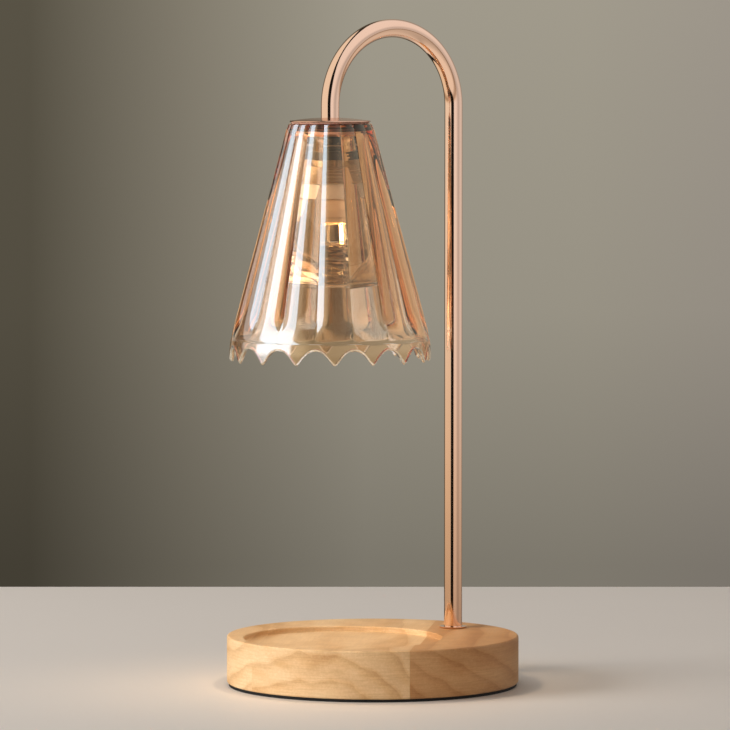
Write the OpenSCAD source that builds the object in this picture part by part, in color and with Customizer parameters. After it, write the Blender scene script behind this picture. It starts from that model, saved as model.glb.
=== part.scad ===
// Candle warmer lamp: a round wooden base with a candle recess, a bent metal arm,
// and a fluted glass shade with a scalloped hem over a twist-in reflector bulb.
// Origin at the middle of the underside, +Z up, the arm's plane along X, the post at +X.

/* [Base] */
// Diameter of the wooden base
base_d = 160; // [150:1:200]
// Thickness of the wooden base
base_h = 26; // [25:0.5:36]
// Radius of the softened edges of the wood
base_edge = 1.2; // [0.6:0.1:2.5]
// Diameter of the candle recess
recess_d = 108; // [90:1:110]
// Depth of the candle recess
recess_depth = 3; // [2:0.5:4]
// Wood left between the recess and the base's edge, on the side away from the post
recess_margin = 5.5; // [4:0.5:8]
// Thickness of the soft pad under the base
pad_t = 1.5; // [1:0.5:3]
// How far the pad stays inside the edge of the wood
pad_inset = 1; // [0.5:0.5:3]
// How far the steel weight plate stays inside the edge of the wood
plate_inset = 10.3; // [9.5:0.1:12]
// Thickness of the steel weight plate
plate_t = 4; // [3:0.5:5]
// Distance of the plate screws from the edge of the plate
plate_screw_inset = 7.7; // [6:0.1:10]

/* [Arm] */
// Outer diameter of the arm tube
arm_d = 10; // [9:0.5:11]
// Wall of the arm tube
arm_wall = 1; // [0.8:0.1:1.1]
// Distance of the post from the edge of the base
post_inset = 24.25; // [22:0.25:25]
// Height of the straight post above the wood
arm_rise = 289.8; // [260:0.1:330]
// Radius of the bend, at the middle of the tube
bend_r = 42.3; // [38:0.1:46]
// Straight drop between the bend and the top of the shade
arm_drop = 6.1; // [4:0.1:20]
// Diameter of the collar at the foot of the post
collar_d = 15; // [13:0.5:20]
// Thickness of the collar
collar_t = 1; // [0.8:0.1:2]
// Width across flats of the nut under the base
post_nut_af = 14; // [13.5:0.5:17]
// Height of the nut under the base
post_nut_h = 4; // [3:0.5:4.5]

/* [Shade] */
// Height of the glass shade
shade_h = 129; // [122:1:140]
// Diameter of the shade at its top
shade_top_d = 46; // [44:0.5:50]
// Lean of the shade's side, in degrees from upright
shade_angle = 15; // [14:0.5:16]
// Diameter of the shade at its hem
hem_d = 109; // [107:0.5:112]
// Length of the straight side, before it turns steep towards the hem
side_len = 108; // [100:1:112]
// Number of flutes round the shade
flutes = 16; // [12:1:20]
// Depth of the grooves between flutes at the top
groove_top = 1.3; // [0.8:0.1:1.6]
// Depth of the grooves between flutes low on the shade
groove_low = 2.8; // [1.5:0.1:3]
// Height above the hem's tips at which the grooves end
groove_end = 12; // [10:0.5:14]
// Height over which the grooves run out
groove_fade = 20; // [12:1:30]
// Thickness of the glass
glass_wall = 4.2; // [3.8:0.1:4.6]
// Thickness of the thin skirt at the hem
skirt_wall = 2.4; // [1.8:0.1:3]
// Height of the arches cut into the hem
arch_h = 8; // [5:0.5:9]
// Thickness of the flange at the top of the glass
flange_t = 4.4; // [3.5:0.1:5.5]
// Diameter of the hole in the top of the glass
glass_hole_d = 20; // [19:0.5:22]

/* [Cap] */
// Thickness of the cap on the shade
cap_t = 1; // [0.8:0.1:1.4]
// Rise of the cap from its rim to its middle
cap_rise = 1.6; // [1:0.1:4]
// Diameter of the tapped hub under the cap
hub_d = 15; // [13.5:0.5:17]
// Length of the hub below the cap's rim
hub_len = 4; // [3:0.5:4.5]
// Thickness of the gasket between cap and glass
cap_gasket_t = 0.6; // [0.4:0.1:1.5]
// Thickness of the gasket under the glass
clamp_gasket_t = 1.4; // [0.8:0.1:2]
// Gap between the plate that clamps the glass and the glass around it
clamp_margin = 2; // [1.5:0.1:5]
// Thickness of the plate that clamps the glass
clamp_t = 1.1; // [0.8:0.1:2]
// Width across flats of the nut under the shade
shade_nut_af = 17; // [14:0.5:19]
// Height of the nut under the shade
shade_nut_h = 5; // [4:0.5:7]

/* [Lampholder] */
// Diameter of the ceramic body
ceramic_d = 26; // [25:0.5:30]
// Height of the ceramic body
ceramic_h = 17.5; // [16.5:0.5:22]
// Height of the cover above the ceramic body
cover_h = 10.6; // [9.8:0.1:14]
// Height of the cover's cavity for the terminals
cover_cavity_h = 6; // [5:0.5:7]
// Height of the metal sleeve round the ceramic body
sleeve_h = 9.5; // [7:0.5:13]
// Wall of the metal sleeve
sleeve_wall = 0.6; // [0.5:0.1:1]
// Diameter of the ring round the cover
ring_d = 29; // [28.5:0.5:34]
// Height of the ring round the cover
ring_h = 3.5; // [2.5:0.5:4]
// Distance between the two pins of the bulb
pin_pitch = 10; // [9.5:0.5:10.5]
// Turn that frees the bulb, in degrees
bulb_turn = 40; // [35:1:45]

/* [Bulb] */
// Diameter of the bulb's front
bulb_d = 50; // [48:0.5:52]
// Length of the bulb from its front to its seat
bulb_len = 47.5; // [45:0.5:55]
// Diameter of the bulb's base
bulb_base_d = 22; // [21:0.5:24]
// Height of the bulb's base
bulb_base_h = 10; // [9.5:0.5:12]
// Height of the glass neck between the base and the bowl
bulb_neck_h = 14.5; // [12:0.5:17]
// Thickness of the reflector
reflector_wall = 1.4; // [1:0.1:1.8]
// Thickness of the front glass
front_t = 1.8; // [1.5:0.1:3]
// Diameter of a pin's shank
pin_d = 3; // [2.8:0.1:3.2]
// Diameter of a pin's head
pin_head_d = 5; // [4.6:0.1:5.2]
// Length of a pin beyond the seat
pin_len = 7; // [6.5:0.1:7.5]
// Height of a pin's head
pin_head_h = 3; // [2.5:0.1:3.2]
// Diameter of the burner capsule
capsule_d = 9.2; // [8:0.2:10]
// Wall of the burner capsule
capsule_wall = 0.9; // [0.7:0.1:1.2]
// Length of the capsule that stands out of the base
capsule_out = 18; // [16:0.5:20]
// Length of the glowing coil
filament_l = 9; // [7:0.5:9.5]

/* [Wiring] */
// Diameter of one insulated core
core_d = 2.2; // [1.8:0.1:2.4]
// Length of the terminal block
block_l = 20; // [18:0.5:22]
// Width of the terminal block
block_w = 17; // [16:0.5:20]
// Height of the terminal block
block_h = 10.5; // [10:0.5:11.5]
// Distance between the poles of the terminal block
block_pitch = 8.4; // [8:0.2:9]
// Gap between the terminal block and the middle of the post
block_gap = 19; // [17:0.5:21]
// Bore of the cord gland
gland_bore = 5.6; // [4.5:0.1:7]
// Width of the gland's body
gland_w = 9.7; // [9.5:0.1:12]
// How far the gland's lip stands out of the base
gland_lip = 2; // [1.5:0.5:4]

/* [Fits] */
// Clearance of one side between a thread or shaft and its hole
play = 0.15; // [0.1:0.05:0.25]
// Clearance of one side round parts that drop into pockets
pocket_gap = 0.3; // [0.2:0.05:0.4]

/* [Hidden] */
$fn = 96;
fine = 48;                   // segments of small round things
cut = 1;                     // how far a cutter runs past a face

// Heights from the table up
wood_z = pad_t;
wood_top = wood_z + base_h;
recess_z = wood_top - recess_depth;
recess_x = recess_margin + recess_d / 2 - base_d / 2;
plate_z = wood_z;
plate_d = base_d - 2 * plate_inset;
plate_screw_r = plate_d / 2 - plate_screw_inset;
pocket_z = plate_z + plate_t;

// The nut and washers under the base
washer_t = 1.2;
washer_d = 22;
lock_t = 0.8;
lock_d = 16;
nut_room_d = 30;             // round pocket about the post's nut
wood_above_nut = 7.5;
nut_ceiling = wood_top - wood_above_nut;
post_nut_z = nut_ceiling - washer_t - lock_t - post_nut_h;
thread_out = 1;              // thread that shows past a nut
arm_foot_z = post_nut_z - thread_out;

// The arm
arm_bore = arm_d - 2 * arm_wall;
spring_z = wood_top + arm_rise;
post_x = base_d / 2 - post_inset;
axis_x = post_x - 2 * bend_r;
hole_d = arm_d + 2 * play;

// The stack at the shade's top, from the cap down
cap_top = spring_z - arm_drop;
cap_rim_top = cap_top - cap_rise;
cap_rim_z = cap_rim_top - cap_t;
cap_d = shade_top_d + 0.5;
clamp_d = 2 * (crest_r(flange_t) - glass_wall - clamp_margin);
cap_flat = 2;                // flat rim of the cap
glass_top = cap_rim_z - cap_gasket_t;
flange_z = glass_top - flange_t;
clamp_z = flange_z - clamp_gasket_t - clamp_t;
shade_nut_z = clamp_z - shade_nut_h;
holder_washer_t = 1;
holder_washer_d = 18;
cover_top = shade_nut_z - holder_washer_t;
cover_z = cover_top - cover_h;
seat_z = cover_z - ceramic_h;
arm_end_z = cover_z + cover_cavity_h + 0.3;

// The lampholder
cover_neck_d = 17;
cover_neck_h = 2.6;
cavity_w = 11;               // cavity for the terminals, across the pins' line
cavity_wall = 2.5;
rib_count = 2;
rib_w = 0.9;
rib_d = 0.6;
pin_orbit = pin_pitch / 2;
slot_gap = 0.4;              // round a pin in its slot
head_room = 2;               // above a pin's head, for the contact
ledge_h = pin_len - pin_head_h - 0.5;
contact_gap = 0.3;
contact_t = 1;
contact_d = 4.4;
stem_w = 1.6;
stem_y = [2.2, 5.6];         // reach of the contact's stem, out from the axis
tab_offset = 3.2;            // where the cores end, out from the axis
tab_w = 2.6;
tab_h = 2.7;
holder_screw_r = ceramic_d / 2 - 4.1;
holder_screw_d = 3;
holder_head_d = 5.4;
holder_head_h = 1.6;
ring_grip_count = 30;
ring_grip_d = 0.9;

// The bulb
bulb_z = seat_z - bulb_len;
base_low_z = seat_z - bulb_base_h;
neck_r = bulb_base_d / 2 - 1;
spigot_r = neck_r - reflector_wall - play;
spigot_h = 3;
bowl_top_z = base_low_z - bulb_neck_h;
capsule_hole = capsule_d + 2 * play;
pin_root = 5;                // pin length inside the base
capsule_in = bulb_base_h - pin_root - 1;
capsule_low = base_low_z - spigot_h - capsule_out;
pinch_h = 5;                 // closed end of the capsule
filament_d = 1.2;
filament_up = 7.5;           // coil above the capsule's tip
wire_d = 0.5;
wire_offset = capsule_d / 2 - capsule_wall - 0.8;

// The wiring in the base
room_ceiling = pocket_z + block_h + 0.5;
block_x = post_x - block_gap - block_l;
block_z = room_ceiling - block_h;
barrel_z = block_z + 6;
barrel_d = 5;
barrel_bore = 3;
barrel_inset = 2;
block_screw_d = 3.2;
block_screw_h = 3.4;
fixing_d = 3;
fixing_head_d = 5;
fixing_head_h = 1.6;
fixing_sunk = 0.5;           // head below the block's face
fixing_bite = 3.6;           // fixing screw's length in the wood
lead_bend = 5;
lead_run_z = arm_foot_z + 1 - lead_bend;
core_offset = 1.45;          // each core's distance from the tube's middle
core_grip = 7;               // core length inside its terminal
ease_steps = 6;
splay_len = 9;               // length over which the cores part at the lampholder
core_tail = 0.6;             // straight end of a core on its tab
gland_x = plate_d / 2 + pocket_gap + 0.2;
gland_top = room_ceiling - 0.2;
gland_bore_up = 9.5;         // from the wood's underside to the bore's middle
gland_bore_z = wood_z + gland_bore_up;
gland_lip_w = gland_w + 4.3;
gland_lip_h = 13;
gland_round = 2.5;
plate_screw_d = 4;
plate_screw_l = 12;
plate_head_d = 7.6;
plate_head_h = 2.2;

rose_gold = "#d9a184";
black = "#1d1c1b";
zinc = "#b9bcc0";
brass = "#c9a552";

// ---- shared shapes ----

module disc(d, h, z, seg = $fn) translate([0, 0, z]) cylinder(d = d, h = h, $fn = seg);

module washer(d, hole, h, z) difference() {
    disc(d, h, z);
    disc(hole, h + 2 * cut, z - cut);
}

module hex_nut(af, hole, h, z) difference() {
    intersection() {
        translate([0, 0, z]) cylinder(d = af / cos(30), h = h, $fn = 6);
        translate([0, 0, z]) nut_chamfer(af, h);
    }
    disc(hole, h + 2 * cut, z - cut);
}

// Turned outline that takes the corners off a nut's two faces
module nut_chamfer(af, h) {
    corner = af / cos(30) / 2;
    drop = corner - af / 2;
    rotate_extrude() polygon([[0, 0], [af / 2, 0], [corner, drop * 0.6],
        [corner, h - drop * 0.6], [af / 2, h], [0, h]]);
}

// Quarter-round at one corner of a turned outline
module soft_outline(r, h, edge) {
    square([r - edge, h]);
    translate([0, edge]) square([r, h - 2 * edge]);
    for (y = [edge, h - edge]) translate([r - edge, y]) circle(edge, $fn = fine);
}

// Solid rod along the arm's line: up the post, round the bend and down the drop
module arm_rod(d, z_foot, z_end) {
    translate([post_x, 0, z_foot]) cylinder(d = d, h = spring_z - z_foot);
    translate([post_x - bend_r, 0, spring_z]) rotate([90, 0, 0])
        rotate_extrude(angle = 180) translate([bend_r, 0]) circle(d = d);
    translate([axis_x, 0, z_end]) cylinder(d = d, h = spring_z - z_end);
}

module at_post() translate([post_x, 0, 0]) children();
module at_shade() translate([axis_x, 0, 0]) children();
module both_sides() for (a = [0, 180]) rotate(a) children();
module at_plate_screws() for (a = [45:90:315]) rotate(a) translate([plate_screw_r, 0, 0]) children();

// ---- base ----

module base_pad() color(black) disc(base_d - 2 * pad_inset, pad_t, 0);

module recess_cutter() {
    fillet = 0.8;
    r = recess_d / 2;
    rotate_extrude() {
        square([r - fillet, recess_depth + cut]);
        translate([0, fillet]) square([r, recess_depth + cut - fillet]);
        translate([r - fillet, fillet]) circle(fillet, $fn = fine);
        translate([r, recess_depth - fillet]) difference() {
            square([fillet, fillet + cut]);
            translate([fillet, 0]) circle(fillet, $fn = fine);
        }
    }
}

module wiring_room() {
    y = block_w / 2 + pocket_gap;
    x = block_x - pocket_gap;
    at_post() disc(nut_room_d, nut_ceiling - pocket_z + cut, pocket_z - cut);
    translate([x, -y, pocket_z - cut]) cube([post_x - x, 2 * y, room_ceiling - pocket_z + cut]);
}

module gland_channel() translate([plate_d / 2 - 2, -gland_w / 2 - pocket_gap / 2, wood_z - cut])
    cube([base_d / 2, gland_w + pocket_gap, room_ceiling - wood_z + cut]);

module wood_base() color("#c79a68") difference() {
    translate([0, 0, wood_z]) rotate_extrude() soft_outline(base_d / 2, base_h, base_edge);
    translate([recess_x, 0, recess_z]) recess_cutter();
    disc(plate_d + 2 * pocket_gap, plate_t + cut, plate_z - cut);
    wiring_room();
    gland_channel();
    at_post() disc(hole_d, base_h + 2 * cut, wood_z - cut, fine);
    at_plate_screws() disc(plate_screw_d + 2 * play, plate_screw_l + 1, wood_z, fine);
    translate([block_x + block_l / 2, 0, 0])
        disc(fixing_d + 2 * play, fixing_bite + 0.5 + cut, room_ceiling - cut, fine);
}

module weight_plate() color("#3a3c3f") difference() {
    disc(plate_d, plate_t, plate_z);
    at_plate_screws() {
        disc(plate_screw_d + 1, plate_t + 2 * cut, plate_z - cut, fine);
        translate([0, 0, plate_z - 0.01])
            cylinder(d1 = plate_head_d + 0.6, d2 = plate_screw_d + 1, h = plate_head_h, $fn = fine);
    }
}

// Countersunk wood screws that hold the plate
module plate_screws() color(zinc) at_plate_screws() difference() {
    union() {
        translate([0, 0, plate_z + 0.1])
            cylinder(d1 = plate_head_d, d2 = plate_screw_d, h = plate_head_h - 0.1, $fn = fine);
        disc(plate_screw_d, plate_screw_l - 3 - plate_head_h, plate_z + plate_head_h, fine);
        translate([0, 0, plate_z + plate_screw_l - 3])
            cylinder(d1 = plate_screw_d, d2 = 1, h = 3, $fn = fine);
    }
    for (a = [0, 90]) rotate(a) translate([-2, -0.5, plate_z - cut]) cube([4, 1, cut + 1.2]);
}

module post_collar() color(rose_gold) at_post() difference() {
    translate([0, 0, wood_top]) rotate_extrude() intersection() {
        soft_outline(collar_d / 2, collar_t * 2, collar_t * 0.9);
        square([collar_d, collar_t]);
    }
    disc(hole_d, collar_t + 2 * cut, wood_top - cut, fine);
}

module post_washer() color(zinc) at_post()
    washer(washer_d, hole_d, washer_t, nut_ceiling - washer_t);

// Toothed washer that keeps the nut from working loose
module lock_washer() color(zinc) at_post() difference() {
    washer(lock_d, hole_d, lock_t, nut_ceiling - washer_t - lock_t);
    for (a = [0:30:330]) rotate(a)
        translate([lock_d / 2 - 1.4, -0.5, nut_ceiling - washer_t - lock_t - cut])
            cube([3, 1, lock_t + 2 * cut]);
}

module post_nut() color(zinc) at_post() hex_nut(post_nut_af, hole_d, post_nut_h, post_nut_z);

module gland_plate(w, h, t) {
    translate([0, -w / 2, 0]) cube([t, w, h - gland_round]);
    translate([0, -w / 2 + gland_round, 0]) cube([t, w - 2 * gland_round, h]);
    for (s = [-1, 1]) translate([0, s * (w / 2 - gland_round), h - gland_round])
        rotate([0, 90, 0]) cylinder(r = gland_round, h = t, $fn = fine);
}

// Rubber bush for the supply cord, in a channel that opens downwards
module cord_gland() color(black) difference() {
    union() {
        translate([gland_x, -gland_w / 2, wood_z])
            cube([base_d / 2 - gland_x, gland_w, gland_top - wood_z]);
        translate([base_d / 2, 0, gland_bore_z - gland_lip_h / 2])
            gland_plate(gland_lip_w, gland_lip_h, gland_lip);
    }
    translate([gland_x - cut, 0, gland_bore_z]) rotate([0, 90, 0])
        cylinder(d = gland_bore, h = base_d / 2 - gland_x + gland_lip + 2 * cut, $fn = fine);
}

// ---- wiring ----

module at_poles() for (s = [-1, 1]) translate([block_x, s * block_pitch / 2, 0]) children();
module at_block_screws() at_poles() for (x = [0.27, 0.73]) translate([x * block_l, 0, 0]) children();

module terminal_block() color("#e9e6da") difference() {
    translate([block_x, -block_w / 2, block_z]) cube([block_l, block_w, block_h]);
    translate([block_x - cut, -0.8, block_z - cut]) cube([block_l * 0.25 + cut, 1.6, block_h + 2 * cut]);
    translate([block_x + block_l * 0.75, -0.8, block_z - cut])
        cube([block_l * 0.25 + cut, 1.6, block_h + 2 * cut]);
    at_poles() translate([-cut, 0, barrel_z]) rotate([0, 90, 0])
        cylinder(d = barrel_d + 2 * play, h = block_l + 2 * cut, $fn = fine);
    at_block_screws() disc(block_screw_d + 2 * play, barrel_z - block_z + cut, block_z - cut, fine);
    translate([block_x + block_l / 2, 0, 0]) {
        disc(fixing_d + 2 * play, block_h + 2 * cut, block_z - cut, fine);
        disc(fixing_head_d + 2 * play, fixing_sunk + fixing_head_h + cut, block_z - cut, fine);
    }
}

module block_barrels() color(brass) difference() {
    at_poles() translate([barrel_inset, 0, barrel_z]) rotate([0, 90, 0])
        cylinder(d = barrel_d, h = block_l - 2 * barrel_inset, $fn = fine);
    at_poles() translate([-cut, 0, barrel_z]) rotate([0, 90, 0])
        cylinder(d = barrel_bore, h = block_l + 2 * cut, $fn = fine);
    at_block_screws() disc(block_screw_d + 2 * play, barrel_d / 2 + cut, barrel_z - barrel_d / 2 - cut, fine);
}

// Clamping screws, turned from below
module block_screws() color(zinc) at_block_screws() difference() {
    disc(block_screw_d, block_screw_h, barrel_z - core_d / 2 - 0.1 - block_screw_h, fine);
    translate([-block_screw_d, -0.35, barrel_z - core_d / 2 - 0.1 - block_screw_h - cut])
        cube([2 * block_screw_d, 0.7, cut + 0.9]);
}

module block_fixing() color(zinc) translate([block_x + block_l / 2, 0, 0]) difference() {
    union() {
        disc(fixing_head_d, fixing_head_h, block_z + fixing_sunk, fine);
        disc(fixing_d, block_h + fixing_bite - fixing_sunk, block_z + fixing_sunk, fine);
    }
    translate([-fixing_head_d, -0.35, block_z + fixing_sunk - cut]) cube([2 * fixing_head_d, 0.7, cut + 0.8]);
}

function ease(a, b, k) = a + (b - a) * (1 - cos(180 * k)) / 2;

// Middle line of one core, from its terminal in the base to its tab in the lampholder
function core_path(side) = concat(
    [[block_x + block_l - core_grip, side * block_pitch / 2, barrel_z]],
    [for (i = [0:ease_steps]) let (k = i / ease_steps)
        [(block_x + block_l + 1) * (1 - k) + (post_x - lead_bend) * k,
            side * ease(block_pitch / 2, core_offset, k), ease(barrel_z, lead_run_z, k)]],
    [for (a = [15:15:90])
        [post_x - lead_bend * (1 - sin(a)), side * core_offset, lead_run_z + lead_bend * (1 - cos(a))]],
    [for (a = [0:10:180])
        [post_x - bend_r * (1 - cos(a)), side * core_offset, spring_z + bend_r * sin(a)]],
    [for (i = [0:ease_steps]) let (k = i / ease_steps)
        [axis_x, side * ease(core_offset, tab_offset, k), cover_z + tab_h + core_tail + splay_len * (1 - k)]],
    [[axis_x, side * tab_offset, cover_z + tab_h]]);

function unit(v) = v / norm(v);

// Tube along a list of points, with rings square to the line
module swept_core(path, d, sides = 8) {
    last = len(path) - 1;
    rings = [for (i = [0:last]) let (
            t = unit(path[min(i + 1, last)] - path[max(i - 1, 0)]),
            u = unit([0, 1, 0] - t[1] * t),
            v = cross(t, u))
        for (s = [0:sides - 1]) path[i] + d / 2 * (u * cos(360 * s / sides) + v * sin(360 * s / sides))];
    walls = [for (i = [0:last - 1], s = [0:sides - 1]) let (
            n = (s + 1) % sides, a = i * sides, b = a + sides)
        each [[a + s, b + s, b + n], [a + s, b + n, a + n]]];
    ends = [[for (s = [0:sides - 1]) s], [for (s = [sides - 1:-1:0]) last * sides + s]];
    polyhedron(rings, concat(walls, ends));
}

module core_leads() color("#ded7c6") for (side = [-1, 1]) swept_core(core_path(side), core_d);

// ---- arm ----

module arm_tube() color(rose_gold) difference() {
    arm_rod(arm_d, arm_foot_z, arm_end_z);
    arm_rod(arm_bore, arm_foot_z - cut, arm_end_z - cut);
}

// ---- shade ----

// Shallow domed cap with a tapped hub; its outline is two arcs over a flat rim
module top_cap() color(rose_gold) at_shade() {
    r_in = cap_d / 2 - cap_flat;
    dome = (r_in * r_in + cap_rise * cap_rise) / (2 * cap_rise);
    difference() {
        union() {
            disc(cap_d, cap_t, cap_rim_z);
            translate([0, 0, cap_rim_top]) dome_slice(dome, cap_rise, 0);
            disc(hub_d, hub_len + cap_t, cap_rim_z - hub_len, fine);
        }
        difference() {
            translate([0, 0, cap_rim_z]) dome_slice(dome, cap_rise, cut);
            disc(hub_d, hub_len + cap_rise + 2 * cut, cap_rim_z - hub_len, fine);
        }
        disc(hole_d, cap_top - cap_rim_z + hub_len + 2 * cut, cap_rim_z - hub_len - cut, fine);
    }
}

// The part of a ball above a level, with an optional disc below it
module dome_slice(r, rise, below) rotate_extrude() intersection() {
    translate([0, rise - r]) circle(r, $fn = 360);
    translate([0, -below]) square([cap_d / 2 - cap_flat, rise + below]);
}

module cap_gasket() color(black) at_shade()
    washer(shade_top_d - 2 * groove_top - 1, glass_hole_d, cap_gasket_t, glass_top);

function smooth(k) = let (c = min(1, max(0, k))) c * c * (3 - 2 * c);

// Radius of the shade over the crests, by depth below its top
function crest_r(u) = let (
        slope = tan(shade_angle),
        v = max(0, u - side_len),
        turn = shade_h - side_len,
        knee_r = shade_top_d / 2 + slope * side_len)
    shade_top_d / 2 + slope * u + (hem_d / 2 - knee_r - slope * turn) * pow(v / turn, 2);

// Depth of the groove between two flutes, by depth below the top
function groove(u) = let (stop = shade_h - groove_end)
    (groove_top + (groove_low - groove_top) * min(1, u / side_len)) * smooth((stop - u) / groove_fade);

// A flute is round across and meets the next one in a sharp groove; p runs -1 to 1 over it
function flute_r(u, p) = crest_r(u) - groove(u) * pow(abs(p), 2.2);

// Depth of the hem's edge: tips under the crests, arches under the grooves
function hem_u(p) = shade_h - arch_h * (1 - pow(1 - abs(p), 2.2));

// Closed outline of the glass at one place across a flute, as [radius, depth] points
function glass_outline(p) = let (
        stop = shade_h - groove_end,
        low = hem_u(p),
        bead = skirt_wall / 2,
        mid = (stop + low - bead) / 2,
        skirt_top = stop + 1,
        edge = 0.8,
        inner_top = crest_r(flange_t) - glass_wall)
    concat(
        [[glass_hole_d / 2, 0], [flute_r(0, p) - edge, 0]],
        [for (u = [edge, side_len * 0.5, stop - groove_fade, stop - groove_fade * 0.8,
            stop - groove_fade * 0.6, stop - groove_fade * 0.4, stop - groove_fade * 0.2, stop])
            [flute_r(u, p), u]],
        [[crest_r(mid), mid]],
        [for (a = [0:45:180]) [crest_r(low - bead) - bead * (1 - cos(a)), low - bead + bead * sin(a)]],
        [[crest_r(skirt_top) - skirt_wall, skirt_top], [crest_r(stop - 3) - glass_wall, stop - 3],
            [crest_r(side_len * 0.5) - glass_wall, side_len * 0.5],
            [inner_top + tan(shade_angle) * 1.5, flange_t + 1.5], [inner_top - 1.2, flange_t],
            [glass_hole_d / 2, flange_t]]);

// The fluted shade: one outline per place round the axis, joined into a closed skin
module glass_shade() color("#d8a878", 0.6) at_shade() {
    per_flute = 8;
    around = flutes * per_flute;
    count = len(glass_outline(0));
    points = [for (j = [0:around - 1]) let (
            p = 2 * (j % per_flute) / per_flute - 1,
            a = 360 * j / around)
        for (q = glass_outline(p)) [q[0] * cos(a), q[0] * sin(a), glass_top - q[1]]];
    skin = [for (j = [0:around - 1], i = [0:count - 1]) let (
            a = j * count, b = ((j + 1) % around) * count, n = (i + 1) % count)
        each [[a + i, a + n, b + n], [a + i, b + n, b + i]]];
    polyhedron(points, skin);
}

module clamp_gasket() color(black) at_shade()
    washer(clamp_d, glass_hole_d, clamp_gasket_t, flange_z - clamp_gasket_t);

module clamp_plate() color(rose_gold) at_shade() washer(clamp_d, hole_d, clamp_t, clamp_z);

module shade_nut() color(black) at_shade() hex_nut(shade_nut_af, hole_d, shade_nut_h, shade_nut_z);

// ---- lampholder ----

module holder_washer() color(zinc) at_shade()
    washer(holder_washer_d, hole_d, holder_washer_t, cover_top);

// Black cover that screws on the arm's end, with a cavity for the terminals
module holder_cover() color(black) at_shade() difference() {
    union() {
        disc(cover_neck_d, cover_neck_h, cover_top - cover_neck_h);
        disc(ceramic_d, cover_h - cover_neck_h, cover_z);
    }
    for (i = [1:rib_count]) translate([0, 0, cover_top - cover_neck_h - i * 2 * rib_w])
        rotate_extrude() translate([ceramic_d / 2 - rib_d, 0]) square([rib_d + cut, rib_w]);
    intersection() {
        disc(ceramic_d - 2 * cavity_wall, cover_cavity_h + cut, cover_z - cut);
        translate([-cavity_w / 2, -ceramic_d / 2, cover_z - cut])
            cube([cavity_w, ceramic_d, cover_cavity_h + cut]);
    }
    disc(hole_d, cover_h + 2 * cut, cover_z - cut, fine);
    both_sides() translate([holder_screw_r, 0, 0])
        disc(holder_screw_d + 2 * play, cover_cavity_h + cut, cover_z - cut, fine);
}

module holder_ring() color(zinc) at_shade() difference() {
    washer(ring_d, ceramic_d + 2 * play, ring_h, cover_z);
    for (i = [0:ring_grip_count - 1]) rotate(i * 360 / ring_grip_count)
        translate([ring_d / 2, 0, cover_z - cut]) cylinder(d = ring_grip_d, h = ring_h + 2 * cut, $fn = 16);
}

// Thin metal sleeve with a rolled bead at its lower edge
module holder_sleeve() color("#c9c5bd") at_shade() difference() {
    union() {
        disc(ceramic_d + 2 * (play + sleeve_wall), sleeve_h, cover_z - sleeve_h);
        translate([0, 0, cover_z - sleeve_h + 0.6]) rotate_extrude()
            translate([ceramic_d / 2 + play + sleeve_wall, 0]) circle(0.6, $fn = fine);
    }
    disc(ceramic_d + 2 * play, sleeve_h + 2 * cut, cover_z - sleeve_h - cut);
}

// Arc slot swept by one round thing as the bulb turns, plus its two round ends
module arc_slot(d, h, z) translate([0, 0, z]) {
    rotate(90 - bulb_turn) rotate_extrude(angle = bulb_turn)
        translate([pin_orbit - d / 2, 0]) square([d, h]);
    for (a = [90, 90 - bulb_turn]) rotate(a) translate([pin_orbit, 0, 0]) cylinder(d = d, h = h, $fn = fine);
}

module holder_ceramic() color("#efe8da") at_shade() difference() {
    disc(ceramic_d, ceramic_h, seat_z);
    both_sides() {
        arc_slot(pin_d + 2 * slot_gap, ledge_h + 2 * cut, seat_z - cut);
        arc_slot(pin_head_d + 2 * slot_gap, pin_len + head_room - ledge_h, seat_z + ledge_h);
        rotate(-bulb_turn) translate([0, pin_orbit, seat_z - cut])
            cylinder(d = pin_head_d + 2 * slot_gap, h = ledge_h + 2 * cut, $fn = fine);
        translate([-stem_w / 2 - pocket_gap, stem_y[0] - pocket_gap, seat_z + pin_len])
            cube([stem_w + 2 * pocket_gap, stem_y[1] - stem_y[0] + 2 * pocket_gap, ceramic_h]);
        translate([holder_screw_r, 0, seat_z - cut])
            cylinder(d = holder_screw_d + 2 * play, h = ceramic_h + 2 * cut, $fn = fine);
        translate([holder_screw_r, 0, seat_z - cut])
            cylinder(d = holder_head_d + 2 * pocket_gap, h = holder_head_h + 0.4 + cut, $fn = fine);
    }
}

// Brass contacts over the pins, with stems up to the cores' tabs
module holder_contacts() color(brass) at_shade() both_sides() {
    pad_z = seat_z + pin_len + contact_gap;
    translate([0, pin_orbit, pad_z]) cylinder(d = contact_d, h = contact_t, $fn = fine);
    translate([-stem_w / 2, stem_y[0], pad_z])
        cube([stem_w, stem_y[1] - stem_y[0], cover_z + 0.5 - pad_z]);
    translate([-tab_w / 2, tab_offset - tab_w / 2, cover_z]) cube([tab_w, tab_w, tab_h]);
}

module holder_screws() color(zinc) at_shade() both_sides() translate([holder_screw_r, 0, 0]) difference() {
    union() {
        disc(holder_head_d, holder_head_h, seat_z + 0.4, fine);
        disc(holder_screw_d, ceramic_h + cover_cavity_h - 2.5, seat_z + 0.4 + holder_head_h - 0.2, fine);
    }
    translate([-holder_head_d, -0.4, seat_z + 0.4 - cut]) cube([2 * holder_head_d, 0.8, cut + 0.8]);
}

// ---- bulb ----

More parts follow.
